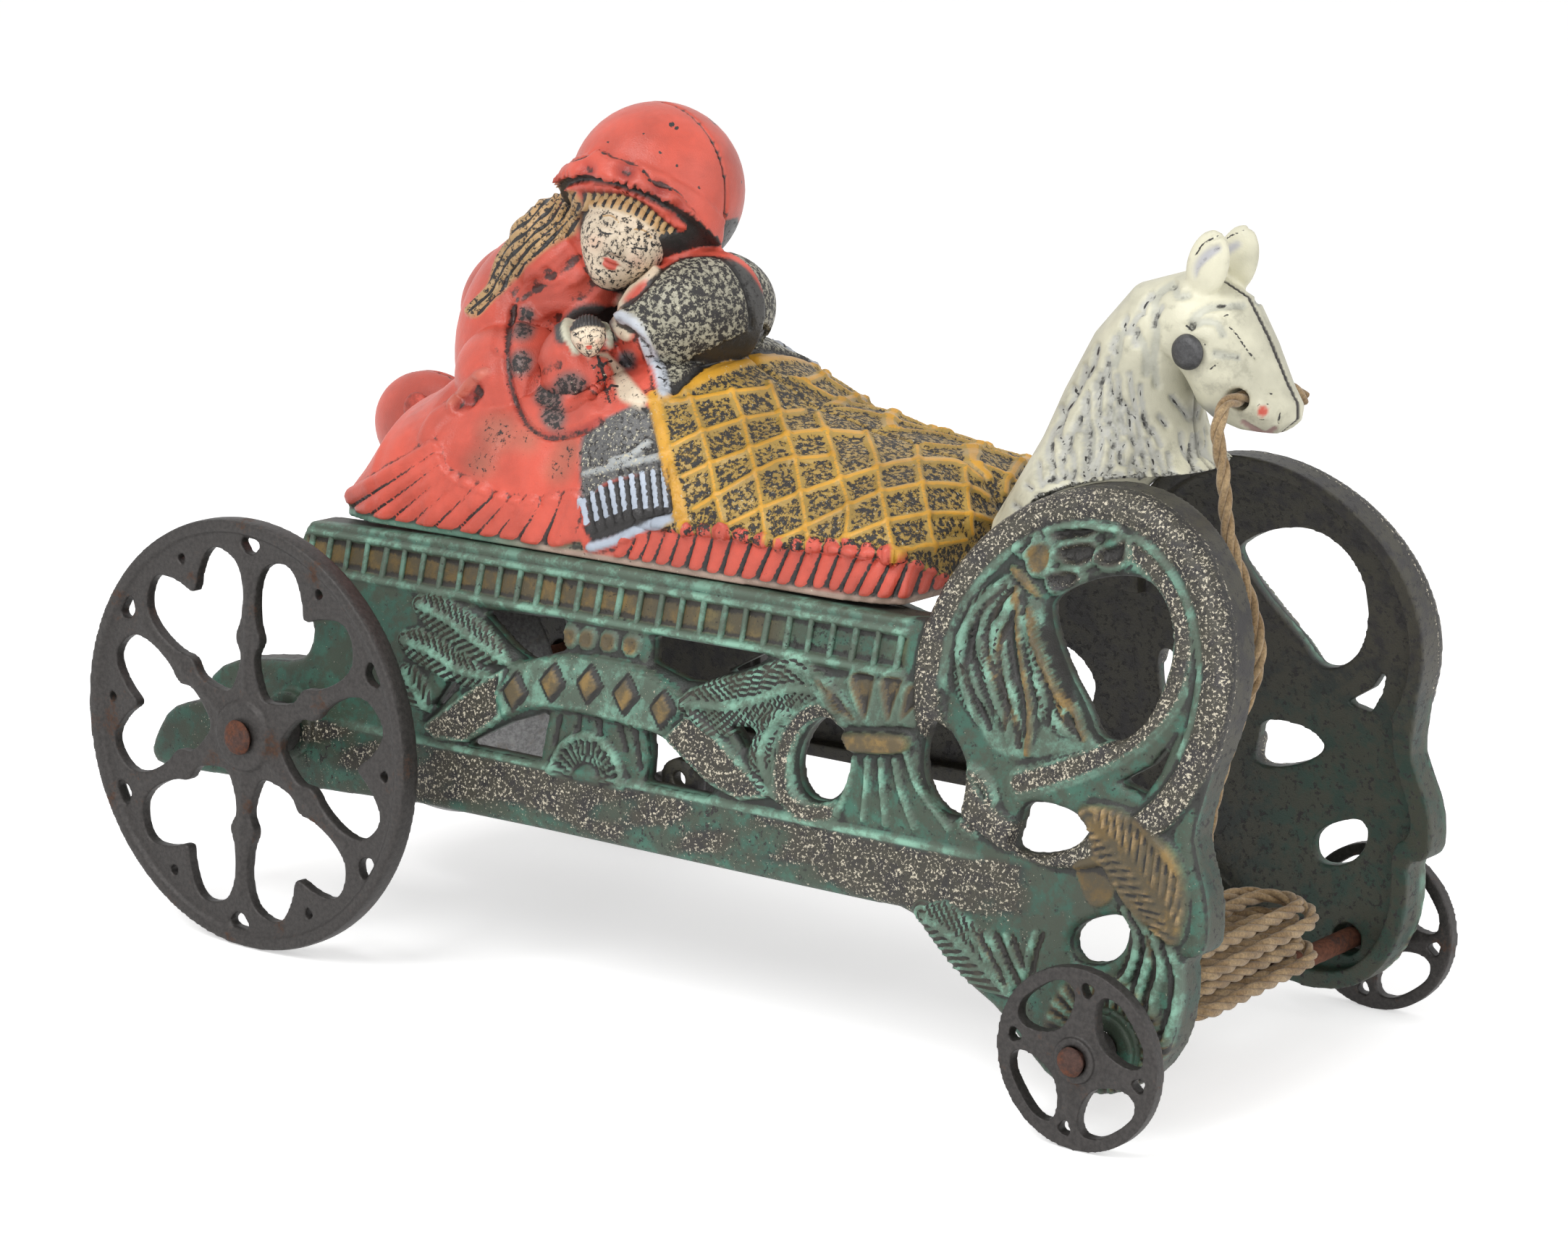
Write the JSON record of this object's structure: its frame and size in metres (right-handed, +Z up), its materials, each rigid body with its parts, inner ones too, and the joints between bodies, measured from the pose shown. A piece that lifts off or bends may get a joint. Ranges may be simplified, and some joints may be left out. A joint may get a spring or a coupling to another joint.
{
  "type": "cast iron bell toy",
  "caption": "Wheeled floor toy: a horse's head before a sleeping figure on an openwork carriage, with a clapper bell on the rear axle and a pull cord.",
  "frame": {"origin": "on the floor, under the middle of the toy", "axes": "+X forwards, where the horse looks; +Y to the toy's left; +Z up"},
  "size_m": [0.2072, 0.0974, 0.1358],
  "materials": {
    "green_iron": "worn green and black paint on cast iron",
    "red_iron": "worn red paint on cast iron",
    "cream_iron": "worn cream paint on cast iron",
    "wheel_iron": "dark, lightly rusted cast iron",
    "axle_iron": "rusty iron rod",
    "rivet_iron": "dark iron",
    "bell_steel": "smooth grey steel, a little worn",
    "twine": "coarse jute twine"
  },
  "bodies": {
    "toy_body": {"right_side_frame": "green_iron", "left_side_frame": "green_iron", "right_figure_half": "red_iron", "left_figure_half": "red_iron", "right_horse_half": "cream_iron", "left_horse_half": "cream_iron", "horse_eye_rivet": "rivet_iron", "skirt_rivet": "rivet_iron", "pull_cord": "twine", "cord_hank": "twine"},
    "rear_wheelset": {"rear_axle": "axle_iron", "right_rear_wheel": "wheel_iron", "left_rear_wheel": "wheel_iron", "bell_gong": "bell_steel", "bell_hub_collar": "axle_iron", "bell_lock_collar": "axle_iron", "clapper_carrier": "axle_iron", "clapper_pin": "rivet_iron"},
    "clapper": {"clapper": "rivet_iron"},
    "front_wheelset": {"front_axle": "axle_iron", "right_front_wheel": "wheel_iron", "left_front_wheel": "wheel_iron"}
  },
  "joints": [
    {"name": "rear_axle_spin", "type": "hinge", "parent": "toy_body", "child": "rear_wheelset", "pos_m": [-0.06856, 0, 0.03504], "axis": [0, 1, 0], "continuous": true},
    {"name": "clapper_swing", "type": "hinge", "parent": "rear_wheelset", "child": "clapper", "pos_m": [-0.05956, -0.0011, 0.03504], "axis": [0, 1, 0], "range_deg": [-38, 35]},
    {"name": "front_axle_spin", "type": "hinge", "parent": "toy_body", "child": "front_wheelset", "pos_m": [0.0885, 0, 0.0132], "axis": [0, 1, 0], "continuous": true}
  ]
}
